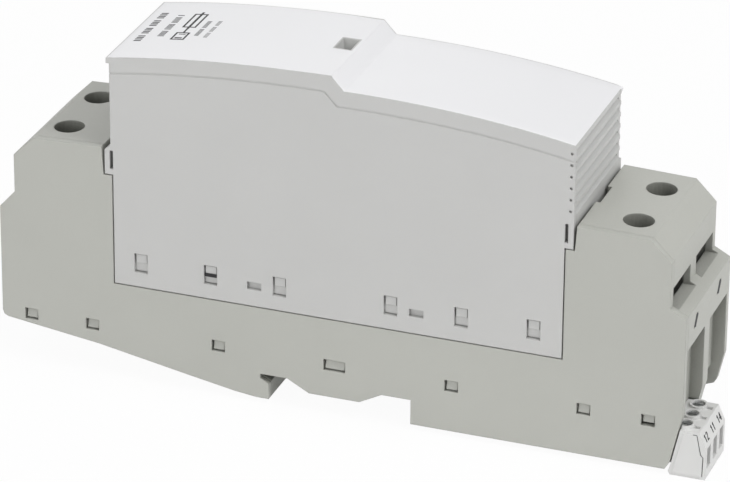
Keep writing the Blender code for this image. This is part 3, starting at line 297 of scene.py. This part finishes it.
# Quads of a grid of points, rows by columns. A closed direction joins its last line to its first.
# Quads where keep is False are left out.
def gridFaces(rows, columns, closedRows, closedColumns, keep=None, first=0):
    i, j = np.meshgrid(np.arange(rows if closedRows else rows - 1),
                       np.arange(columns if closedColumns else columns - 1), indexing="ij")
    nextI, nextJ = (i + 1) % rows, (j + 1) % columns
    faces = np.stack([i * columns + j, nextI * columns + j, nextI * columns + nextJ,
                      i * columns + nextJ], axis=-1)
    if keep is not None:
        return faces[keep] + first
    return faces.reshape(-1, 4) + first


# Closes a sheet of quads: the same sheet turned over below it, and a wall along each edge that only
# one quad uses.
def closedSheet(top, bottom, faces):
    count = len(top)
    starts = faces.reshape(-1)
    ends = np.roll(faces, -1, axis=1).reshape(-1)
    free = ~np.isin(starts * count + ends, ends * count + starts)
    a, b = starts[free], ends[free]
    walls = np.stack([b, a, a + count, b + count], axis=-1)
    return np.concatenate([top, bottom]), np.concatenate([faces, faces[:, ::-1] + count, walls])


# An object from points and faces, without the points that no face uses. It rides a body.
def putMesh(name, points, faces, finish, body, crease=softCrease):
    used, renumbered = np.unique(faces, return_inverse=True)
    mesh = bpy.data.meshes.new(name)
    mesh.from_pydata(points.reshape(-1, 3)[used].tolist(), [],
                     renumbered.reshape(faces.shape).tolist())
    bm = bmesh.new()
    bm.from_mesh(mesh)
    bmesh.ops.recalc_face_normals(bm, faces=bm.faces)
    bm.to_mesh(mesh)
    bm.free()
    mesh.polygons.foreach_set("use_smooth", np.full(len(mesh.polygons), True))
    mesh.set_sharp_from_angle(angle=math.radians(crease))
    mesh.materials.append(finish)
    thing = bpy.data.objects.new(name, mesh)
    bpy.context.scene.collection.objects.link(thing)
    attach(thing, body)
    return thing


# White lid on the cap, with the hole of the sight window.

lidValues = dict(left=capLow[0], right=capHigh[0], near=capLow[1], far=capHigh[1],
                 stepLeft=-1.9 * mm, stepRight=1.2 * mm, high=capHigh[2], low=76.0 * mm,
                 leftDrop=4.0 * mm, rightDrop=4.6 * mm, reach=55.5 * mm, power=2.2,
                 softening=0.35 * mm, inset=0.06 * mm, proud=0.10 * mm, edge=0.45 * mm,
                 thick=0.9 * mm, pitch=1.6 * mm, fine=(0.1, 0.3, 0.6, 1.0),
                 holeX=(-7.0 * mm, -3.0 * mm), holeY=(-1.9 * mm, 4.3 * mm))


# Height of the cap's top along x: two arches, each falling from its crown with the distance to the
# power 2.2, and a straight riser between them.
def archHeight(x, v):
    left = v["high"] - v["leftDrop"] * (np.abs(x - v["stepLeft"]) / v["reach"]) ** v["power"]
    right = v["low"] - v["rightDrop"] * (np.abs(x - v["stepRight"]) / v["reach"]) ** v["power"]
    riser = v["high"] + (v["low"] - v["high"]) * (x - v["stepLeft"]) / (v["stepRight"]
                                                                        - v["stepLeft"])
    return np.where(x < v["stepLeft"], left, np.where(x > v["stepRight"], right, riser))


# The same height with its two corners softened: a weighted mean of three neighbouring heights, a
# little proud of the moulding and never above the crown.
def lidHeight(x, v):
    d = v["softening"]
    mean = 0.25 * archHeight(x - d, v) + 0.5 * archHeight(x, v) + 0.25 * archHeight(x + d, v)
    return np.minimum(mean + v["proud"], v["high"])


# Stations between two ends: even steps, and closer ones beside each place in marks.
def stations(low, high, pitch, marks, near):
    even = np.linspace(low, high, int(round((high - low) / pitch)) + 1)
    close = np.concatenate([mark + side * near for mark in marks for side in (-1, 1)])
    joined = np.unique(np.round(np.concatenate([even, close, np.array(marks)]), 7))
    return joined[(joined >= low - tiny) & (joined <= high + tiny)]


# Height field over x and y. Towards the lid's border and the hole it falls along a quarter circle:
# the radius less the root of the radius squared minus (radius less distance) squared.
def makeLid(v):
    low, high = v["left"] + v["inset"], v["right"] - v["inset"]
    near, far = v["near"] + v["inset"], v["far"] - v["inset"]
    fine = v["edge"] * np.array(v["fine"])
    xs = stations(low, high, v["pitch"], [low, high, *v["holeX"], v["stepLeft"], v["stepRight"]],
                  fine)
    ys = stations(near, far, 2 * v["pitch"], [near, far, *v["holeY"]], fine)
    x, y = np.meshgrid(xs, ys, indexing="ij")
    border = np.minimum(np.minimum(x - low, high - x), np.minimum(y - near, far - y))
    hole = np.maximum(np.maximum(v["holeX"][0] - x, x - v["holeX"][1]),
                      np.maximum(v["holeY"][0] - y, y - v["holeY"][1]))
    short = np.clip(v["edge"] - np.minimum(border, np.abs(hole)), 0.0, v["edge"])
    drop = v["edge"] - np.sqrt(v["edge"] ** 2 - short ** 2)
    z = lidHeight(x, v)
    top = np.stack([x, y, z - drop], axis=-1).reshape(-1, 3)
    bottom = np.stack([x, y, z - v["thick"]], axis=-1).reshape(-1, 3)
    midX, midY = (xs[:-1] + xs[1:]) / 2, (ys[:-1] + ys[1:]) / 2
    outside = ((midX < v["holeX"][0]) | (midX > v["holeX"][1]))[:, None] | \
        ((midY < v["holeY"][0]) | (midY > v["holeY"][1]))[None, :]
    faces = gridFaces(len(xs), len(ys), False, False, outside)
    points, faces = closedSheet(top, bottom, faces)
    return putMesh("cap_lid", points, faces, finishes["cap_white"], "plug")


makeLid(lidValues)
print("lid made")


# Print: strips laid on a surface.

inkLook = dict(colour=(0.012, 0.012, 0.014), rough=0.55, grain=0.12 * mm, depth=0.005 * mm,
               bump=0.2, drift=3 * mm, mottle=0.12, speckle=0.4, rub=0.0, edge=0.02 * mm)
ink = mouldedPlastic("print_ink", inkLook)


# Each strip runs from one flat point to another with a width. It is a grid along and across the
# strip, which place carries onto the surface, once just above it and once just below it.
def makeStrips(name, strips, place, body, lift=0.03 * mm, sunk=0.12 * mm, rows=7):
    t = np.linspace(0.0, 1.0, rows)[:, None, None]
    side = np.array([0.5, -0.5])[None, :, None]
    tops, bottoms, faces = [], [], []
    for x0, y0, x1, y1, width in strips:
        a, b = np.array([x0, y0]) * mm, np.array([x1, y1]) * mm
        along = (b - a) / np.linalg.norm(b - a)
        across = np.array([-along[1], along[0]]) * width * mm
        flat = (a + t * (b - a) + side * across).reshape(-1, 2)
        faces.append(gridFaces(rows, 2, False, False, None, len(tops) * rows * 2))
        tops.append(place(flat[:, 0], flat[:, 1], lift))
        bottoms.append(place(flat[:, 0], flat[:, 1], -sunk))
    points, faces = closedSheet(np.concatenate(tops), np.concatenate(bottoms),
                                np.concatenate(faces))
    return putMesh(name, points, faces, ink, body)


# Height over x and y is the lid's own height plus the lift.
def onLid(x, y, lift):
    return np.stack([x, y, lidHeight(x, lidValues) + lift], axis=-1)


# The four sides of a rectangle.
def frameStrips(x0, x1, y0, y1, width):
    half = width / 2
    return [(x0 - half, y0, x1 + half, y0, width), (x0 - half, y1, x1 + half, y1, width),
            (x0, y0, x0, y1, width), (x1, y0, x1, y1, width)]


# A row of upright dashes between two y values, in groups with a wider space after each group.
def dashRow(x, y0, y1, height, width, pitch, group):
    count = int((y1 - y0) / pitch)
    return [(x - height / 2, y0 + i * pitch, x + height / 2, y0 + i * pitch, width)
            for i in range(count) if (i + 1) % (group + 1)]


# The cap's print in mm over x and y: a row of bold dashes and three of fine ones, and a plain symbol
# of two boxes on a line.
capPrint = (dashRow(-53.9, -7.2, 11.4, 1.8, 0.5, 0.96, 4)
            + dashRow(-49.3, -4.1, 9.9, 1.6, 0.34, 0.72, 5)
            + frameStrips(-46.0, -43.0, -5.9, -1.8, 0.45)
            + [(-45.4, -5.0, -43.6, -5.0, 0.6), (-45.2, -2.7, -43.6, -2.7, 0.4),
               (-44.5, -1.8, -44.5, 0.7, 0.45)]
            + frameStrips(-46.0, -43.0, 1.8, 9.9, 0.45)
            + [(-44.5, 0.7, -44.5, 11.2, 0.6)]
            + dashRow(-40.8, -3.0, 7.5, 1.1, 0.26, 0.62, 7)
            + dashRow(-38.3, -3.8, 7.3, 1.0, 0.2, 0.62, 5))
makeStrips("cap_print", capPrint, onLid, "plug")

# Contact numbers on the connector's slanted face, drawn from strips in a cell 1.1 by 1.9 mm.
digitStrips = {
    "1": [(0.55, 0.0, 0.55, 1.9, 0.42), (0.6, 1.85, 0.15, 1.4, 0.34)],
    "2": [(0.05, 1.45, 0.3, 1.78, 0.34), (0.2, 1.78, 0.85, 1.78, 0.34),
          (0.8, 1.82, 0.9, 1.3, 0.34), (0.95, 1.4, 0.1, 0.15, 0.34),
          (0.0, 0.12, 1.05, 0.12, 0.34)],
    "4": [(0.78, 0.0, 0.78, 1.9, 0.4), (0.78, 1.8, 0.0, 0.62, 0.34),
          (-0.05, 0.6, 1.1, 0.6, 0.34)],
}
connectorFace = dict(foot=(connectorFront, 0.9 * mm),
                     head=(connectorFront - 1.7 * mm, 4.5 * mm), start=0.75,
                     pitch=1.45, indent=0.2, numbers={"12": -14.81, "11": -9.7, "14": -4.59})


# Across is along y, up is along the slope from foot to head, lift is square to it.
def onConnector(across, up, lift):
    foot, head = np.array(connectorFace["foot"]), np.array(connectorFace["head"])
    slope = (head - foot) / np.linalg.norm(head - foot)
    x = foot[0] + up * slope[0] + lift * slope[1]
    z = foot[1] + up * slope[1] - lift * slope[0]
    return np.stack([x, across, z], axis=-1)


numberStrips = []
for number, y in connectorFace["numbers"].items():
    for position, digit in enumerate(number):
        left = y + connectorFace["indent"] + (position - 1) * connectorFace["pitch"]
        numberStrips += [(x0 + left, y0 + connectorFace["start"], x1 + left,
                          y1 + connectorFace["start"], width)
                         for x0, y0, x1, y1, width in digitStrips[digit]]
makeStrips("connector_numbers", numberStrips, onConnector, "connector")

# Parting line on the connector's near side, drawn in ink at the foot of the raised panel's edge,
# where it is also painted shadow of that edge; strips over x and z from one corner to the next.
partingShadowLine = dict(face=-17.5 * mm, width=0.16,
                   corners=[(86.4, 3.88), (87.36, 3.86), (88.38, -0.96), (88.99, -1.66),
                            (88.9, -6.55)])


# Places x and z on an upright plane that faces the near side, the lift outwards.
def onNearFace(face):
    def place(x, z, lift):
        return np.stack([x, np.full_like(x, face) - lift, z], axis=-1)
    return place


partingShadowStrips = [(*first, *second, partingShadowLine["width"])
                 for first, second in zip(partingShadowLine["corners"], partingShadowLine["corners"][1:])]
makeStrips("connector_line", partingShadowStrips, onNearFace(partingShadowLine["face"]), "connector")

# Black strip in the plug's second window under the catch, painted shade of the open slot there, a
# strip over x and z.
windowSlotShade = dict(face=-17.47 * mm, strip=(-33.3, 23.72, -30.2, 23.72, 0.85))
makeStrips("window_slot_shade", [windowSlotShade["strip"]], onNearFace(windowSlotShade["face"]), "plug")

# A dark slanted mark above each of the right wire openings: strips over y and z.
lipMarks = dict(face=endFace, ys=(-9.6, 9.0), middle=29.1, depth=0.7 * mm,
                strokes=[(0.95, 1.35, -0.95, -1.35, 1.5)])


# Places y and z on the base's end face, the lift outwards.
def onLip(y, z, lift):
    return np.stack([np.full_like(y, lipMarks["face"]) + lift, y, z], axis=-1)


markStrips = [(y0 + y, z0 + lipMarks["middle"], y1 + y, z1 + lipMarks["middle"], width)
              for y in lipMarks["ys"] for y0, z0, y1, z1, width in lipMarks["strokes"]]
makeStrips("lip_marks", markStrips, onLip, "base", sunk=lipMarks["depth"])
print("print made")


# Seam bands between each side cover and its housing.

seamBand = dict(inFront=0.06 * mm, behind=0.34 * mm, inset=0.02 * mm, depth=0.45 * mm,
                sharpest=0.4)
outlineValues = dict(weld=0.001 * mm, rim=0.01 * mm, facing=0.99)


# Outline of a cover: the edges between its inner face and its side walls, chained into loops. The
# loop that spans the most in x is the outer one.
def coverOutline(node):
    bm = bmesh.new()
    bm.from_mesh(nodes[node].data)
    bmesh.ops.remove_doubles(bm, verts=bm.verts, dist=outlineValues["weld"])
    inner = max(vert.co.y for vert in bm.verts) - outlineValues["rim"]
    rim = [edge for edge in bm.edges if all(vert.co.y > inner for vert in edge.verts)
           and sum(face.normal.y > outlineValues["facing"] for face in edge.link_faces) == 1]
    joined = {}
    for edge in rim:
        first, second = edge.verts
        joined.setdefault(first, []).append(second)
        joined.setdefault(second, []).append(first)
    loops = []
    while joined:
        loop = [next(iter(joined))]
        while True:
            onward = [vert for vert in joined.pop(loop[-1]) if vert in joined]
            if not onward:
                break
            loop.append(onward[0])
        loops.append(np.array([(vert.co.x, vert.co.z) for vert in loop]))
    bm.free()
    outline = max(loops, key=lambda loop: np.ptp(loop[:, 0]))
    following = np.roll(outline, -1, axis=0)
    area = np.sum(outline[:, 0] * following[:, 1] - following[:, 0] * outline[:, 1])
    return outline if area > 0 else outline[::-1]


# A ring along the outline. Each station moves inwards along the mean of its two edge normals, far
# enough that both edges keep the same inset, up to a limit at sharp corners.
def makeSeam(body, v):
    outline = coverOutline(body + "_side_cover")
    innerFace = nodeBox(body + "_side_cover")[1][1]
    low, high = innerFace - v["inFront"], innerFace + v["behind"]
    ahead = np.roll(outline, -1, axis=0) - outline
    ahead /= np.linalg.norm(ahead, axis=1)[:, None]
    inward = np.stack([-ahead[:, 1], ahead[:, 0]], axis=-1)
    before = np.roll(inward, 1, axis=0)
    mean = (inward + before) / np.maximum(1.0 + np.sum(inward * before, axis=1),
                                          v["sharpest"])[:, None]
    corners = ((v["inset"], low), (v["inset"], high), (v["depth"], high), (v["depth"], low))
    rings = []
    for inset, y in corners:
        moved = outline + inset * mean
        rings.append(np.stack([moved[:, 0], np.full(len(moved), y), moved[:, 1]], axis=-1))
    points = np.stack(rings, axis=1)
    faces = gridFaces(len(outline), len(corners), True, True)
    slotName = body + "_grey"
    return putMesh(body + "_seam", points, faces, finishes[slotName], body, hardCrease)


for body in ("base", "plug"):
    makeSeam(body, seamBand)
print("cover seams closed")


# Raised edge at the far end of the grip's ridges, and a low step in each of the plug's windows
# under its catch. Both are bars.
gripEdge = dict(root=55.5 * mm, top=56.2 * mm, near=16.3 * mm, far=17.74 * mm, cut=0.2 * mm,
                low=53.5 * mm, high=70.75 * mm)
windowSteps = dict(xs=(-49.3, -31.75, -14.5, 12.95, 30.2, 47.7), half=1.62 * mm,
                   root=16.35 * mm, top=16.95 * mm, low=21.5 * mm, high=23.75 * mm,
                   cut=0.12 * mm)


# A rectangle over outward and across, with its two outer corners cut, is repeated along the bar,
# and each end is closed by two quads. The place function turns the bar.
def makeBar(root, top, near, far, cut, ends, place, rows=9):
    profile = np.array([(root, near), (top - cut, near), (top, near + cut), (top, far - cut),
                        (top - cut, far), (root, far)])
    along = np.repeat(np.linspace(ends[0], ends[1], rows), len(profile))
    outward, across = np.tile(profile, (rows, 1)).T
    caps = np.array([[start, start + a, start + a + 1, start + a + 2]
                     for start in (0, (rows - 1) * len(profile)) for a in (1, 3)])
    sides = gridFaces(rows, len(profile), False, True)
    return place(outward, across, along), np.concatenate([sides, caps])


# An upright bar faces the right end, and a lying one the near side.
def upright(outward, across, along):
    return np.stack([outward, across, along], axis=-1)


def lying(outward, across, along):
    return np.stack([along, -outward, across], axis=-1)


points, faces = makeBar(gripEdge["root"], gripEdge["top"], gripEdge["near"], gripEdge["far"],
                        gripEdge["cut"], (gripEdge["low"], gripEdge["high"]), upright)
putMesh("grip_edge", points, faces, finishes["plug_grey"], "plug", hardCrease)

stepPoints, stepFaces = [], []
for number, x in enumerate(windowSteps["xs"]):
    points, faces = makeBar(windowSteps["root"], windowSteps["top"], windowSteps["low"],
                            windowSteps["high"], windowSteps["cut"],
                            (x * mm - windowSteps["half"], x * mm + windowSteps["half"]),
                            lying, rows=4)
    stepPoints.append(points)
    stepFaces.append(faces + number * len(points))
putMesh("window_steps", np.concatenate(stepPoints), np.concatenate(stepFaces),
        finishes["plug_grey"], "plug", hardCrease)
print("edges and steps made")


# Dark gap under the cap's skirt. The shift is the skirt's height times the lean of its riser.
capSeamValues = dict(drop=3.95 * mm, shift=0.42 * 3.8 * mm, half=0.26 * mm, left=-56.6 * mm,
                     right=capHigh[0], near=capLow[1], far=capHigh[1], gripEnd=14.0 * mm,
                     farEnd=55.4 * mm, inset=0.08 * mm, depth=0.8 * mm, steps=12)


# Height of the gap under the skirt: the cap's arches lowered, their riser moved left by the shift.
def skirtHeight(x, v):
    a = lidValues
    start, end = a["stepLeft"] - v["shift"], a["stepRight"] - v["shift"]
    riser = a["high"] + (a["low"] - a["high"]) * (x - start) / (end - start)
    arches = archHeight(np.where(x < end, np.minimum(x, a["stepLeft"]),
                                 np.maximum(x, a["stepRight"])), a)
    return np.where((x < start) | (x > end), arches, riser) - v["drop"]


# A band from the grip round the near, left and far sides: stations along the path, each with a
# small upright rectangle turned to face outwards. Its two ends are closed.
def makeCapSeam(v):
    out, back = v["inset"], v["depth"]
    xs = np.concatenate([
        np.linspace(v["left"], lidValues["stepLeft"] - v["shift"], v["steps"] + 1),
        np.linspace(lidValues["stepRight"] - v["shift"], v["right"], v["steps"] + 1)])
    farXs = xs[xs < v["farEnd"]]
    x = np.concatenate([[v["right"]], xs[::-1], farXs])
    y = np.concatenate([[v["gripEnd"]], np.full(len(xs), v["near"]),
                        np.full(len(farXs), v["far"])])
    rings = []
    for inset, rise in ((out, -v["half"]), (out, v["half"]), (back, v["half"]),
                        (back, -v["half"])):
        innerX = np.clip(x, v["left"] + inset, v["right"] - inset)
        innerY = np.clip(y, v["near"] + inset, v["far"] - inset)
        rings.append(np.stack([innerX, innerY, skirtHeight(x, v) + rise], axis=-1))
    points = np.stack(rings, axis=1)
    faces = gridFaces(len(x), len(rings), False, True)
    last = (len(x) - 1) * len(rings)
    ends = np.array([[3, 2, 1, 0], [last, last + 1, last + 2, last + 3]])
    return putMesh("cap_seam", points, np.concatenate([faces, ends]), finishes["plug_grey"],
                   "plug", hardCrease)


makeCapSeam(capSeamValues)
print("cap seam closed")


# Camera, fitted to the photograph: angles in degrees, place in metres, focal length in pixels.

cameraValues = dict(azimuth=19.882669, elevation=25.637882, roll=0.453051,
                    place=(0.340405, -0.940737, 0.510413), focal=4735.804, frameWidth=730,
                    sensor=36.0, clip=(0.05, 20.0))


def makeCamera(values):
    a, e = math.radians(values["azimuth"]), math.radians(values["elevation"])
    r = math.radians(values["roll"])
    back = Vector((math.sin(a) * math.cos(e), -math.cos(a) * math.cos(e), math.sin(e)))
    right = Vector((math.cos(a), math.sin(a), 0.0))
    up = back.cross(right)
    turnedRight = math.cos(r) * right + math.sin(r) * up
    turnedUp = math.cos(r) * up - math.sin(r) * right
    data = bpy.data.cameras.new("camera")
    data.sensor_width = values["sensor"]
    data.lens = values["focal"] / values["frameWidth"] * values["sensor"]
    data.clip_start, data.clip_end = values["clip"]
    camera = bpy.data.objects.new("camera", data)
    bpy.context.scene.collection.objects.link(camera)
    turn = Matrix((turnedRight, turnedUp, back)).transposed().to_4x4()
    camera.matrix_world = Matrix.Translation(values["place"]) @ turn
    bpy.context.scene.camera = camera


makeCamera(cameraValues)
print("camera placed")


# Studio: floor, world and lamps.

studioValues = dict(floorColour=(0.90, 0.90, 0.90), floorHalf=4.0, floorGap=0.05 * mm,
                    floorGrain=900.0, floorRange=(0.3, 0.7), floorSpeck=0.05, floorShade=0.9,
                    floorRough=0.8, floorSpecular=0.1, floorLift=0.95, ambient=0.32,
                    background=1.0)
lampValues = {
    "topSoftbox": dict(place=(0.1, -0.3, 1.1), aim=(0, 0, 0.03), size=0.9, power=2.9),
    "frontFill": dict(place=(-0.35, -1.2, 0.5), aim=(0, 0, 0.03), size=0.9, power=5.2),
    "rightFill": dict(place=(0.95, -0.2, 0.98), aim=(0, 0, 0.03), size=0.6, power=8.5),
    "backFill": dict(place=(-0.7, 1.1, 0.6), aim=(0, 0, 0.03), size=0.9, power=3.0),
}


# Floor that the camera and reflections see as nearly the plain background.
def makeFloor(values, level):
    half = values["floorHalf"]
    mesh = bpy.data.meshes.new("floor")
    mesh.from_pydata([(-half, -half, level), (half, -half, level), (half, half, level),
                      (-half, half, level)], [], [(0, 1, 2, 3)])
    floor = bpy.data.objects.new("floor", mesh)
    bpy.context.scene.collection.objects.link(floor)
    made, tree, links, shader = newMaterial("pale_floor")
    coord = tree.new("ShaderNodeTexCoord").outputs["Object"]
    grain = noiseNode(tree, links, coord, values["floorGrain"])
    specks = remap(tree, links, grain, *values["floorRange"], 0.0, values["floorSpeck"])
    links.new(mixColour(tree, links, specks, values["floorColour"],
                        scaled(values["floorColour"], values["floorShade"])),
              shader.inputs["Base Color"])
    shader.inputs["Roughness"].default_value = values["floorRough"]
    shader.inputs["Specular IOR Level"].default_value = values["floorSpecular"]
    glow = tree.new("ShaderNodeEmission")
    glow.inputs["Strength"].default_value = values["background"]
    path = tree.new("ShaderNodeLightPath")
    seen = tree.new("ShaderNodeMath")
    seen.operation = "MAXIMUM"
    links.new(path.outputs["Is Camera Ray"], seen.inputs[0])
    links.new(path.outputs["Is Glossy Ray"], seen.inputs[1])
    lift = tree.new("ShaderNodeMath")
    lift.operation = "MULTIPLY"
    links.new(seen.outputs["Value"], lift.inputs[0])
    lift.inputs[1].default_value = values["floorLift"]
    blend = tree.new("ShaderNodeMixShader")
    links.new(lift.outputs["Value"], blend.inputs[0])
    links.new(shader.outputs["BSDF"], blend.inputs[1])
    links.new(glow.outputs["Emission"], blend.inputs[2])
    output = next(n for n in tree if n.type == "OUTPUT_MATERIAL")
    links.new(blend.outputs["Shader"], output.inputs["Surface"])
    mesh.materials.append(made)


# Bright background for the camera, and dimmer light for the part.
def makeWorld(values):
    world = bpy.data.worlds.new("studio")
    bpy.context.scene.world = world
    world.use_nodes = True
    tree, links = world.node_tree.nodes, world.node_tree.links
    tree.clear()
    out = tree.new("ShaderNodeOutputWorld")
    path = tree.new("ShaderNodeLightPath")
    seen = tree.new("ShaderNodeMath")
    seen.operation = "MAXIMUM"
    links.new(path.outputs["Is Camera Ray"], seen.inputs[0])
    links.new(path.outputs["Is Transmission Ray"], seen.inputs[1])
    dim, bright = tree.new("ShaderNodeBackground"), tree.new("ShaderNodeBackground")
    dim.inputs["Strength"].default_value = values["ambient"]
    bright.inputs["Strength"].default_value = values["background"]
    for node in (dim, bright):
        node.inputs["Color"].default_value = (1.0, 1.0, 1.0, 1.0)
    blend = tree.new("ShaderNodeMixShader")
    links.new(seen.outputs["Value"], blend.inputs[0])
    links.new(dim.outputs["Background"], blend.inputs[1])
    links.new(bright.outputs["Background"], blend.inputs[2])
    links.new(blend.outputs["Shader"], out.inputs["Surface"])


def makeLamp(name, values):
    data = bpy.data.lights.new(name, "AREA")
    data.shape = "SQUARE"
    data.size = values["size"]
    data.energy = values["power"]
    lamp = bpy.data.objects.new(name, data)
    bpy.context.scene.collection.objects.link(lamp)
    lamp.location = values["place"]
    away = Vector(values["place"]) - Vector(values["aim"])
    lamp.rotation_euler = away.to_track_quat("Z", "Y").to_euler()


makeFloor(studioValues, cadBox[0][2] - studioValues["floorGap"])
makeWorld(studioValues)
for lampName, values in lampValues.items():
    makeLamp(lampName, values)
bpy.context.scene.view_settings.view_transform = "Standard"
print("studio lit")


print("scene built")
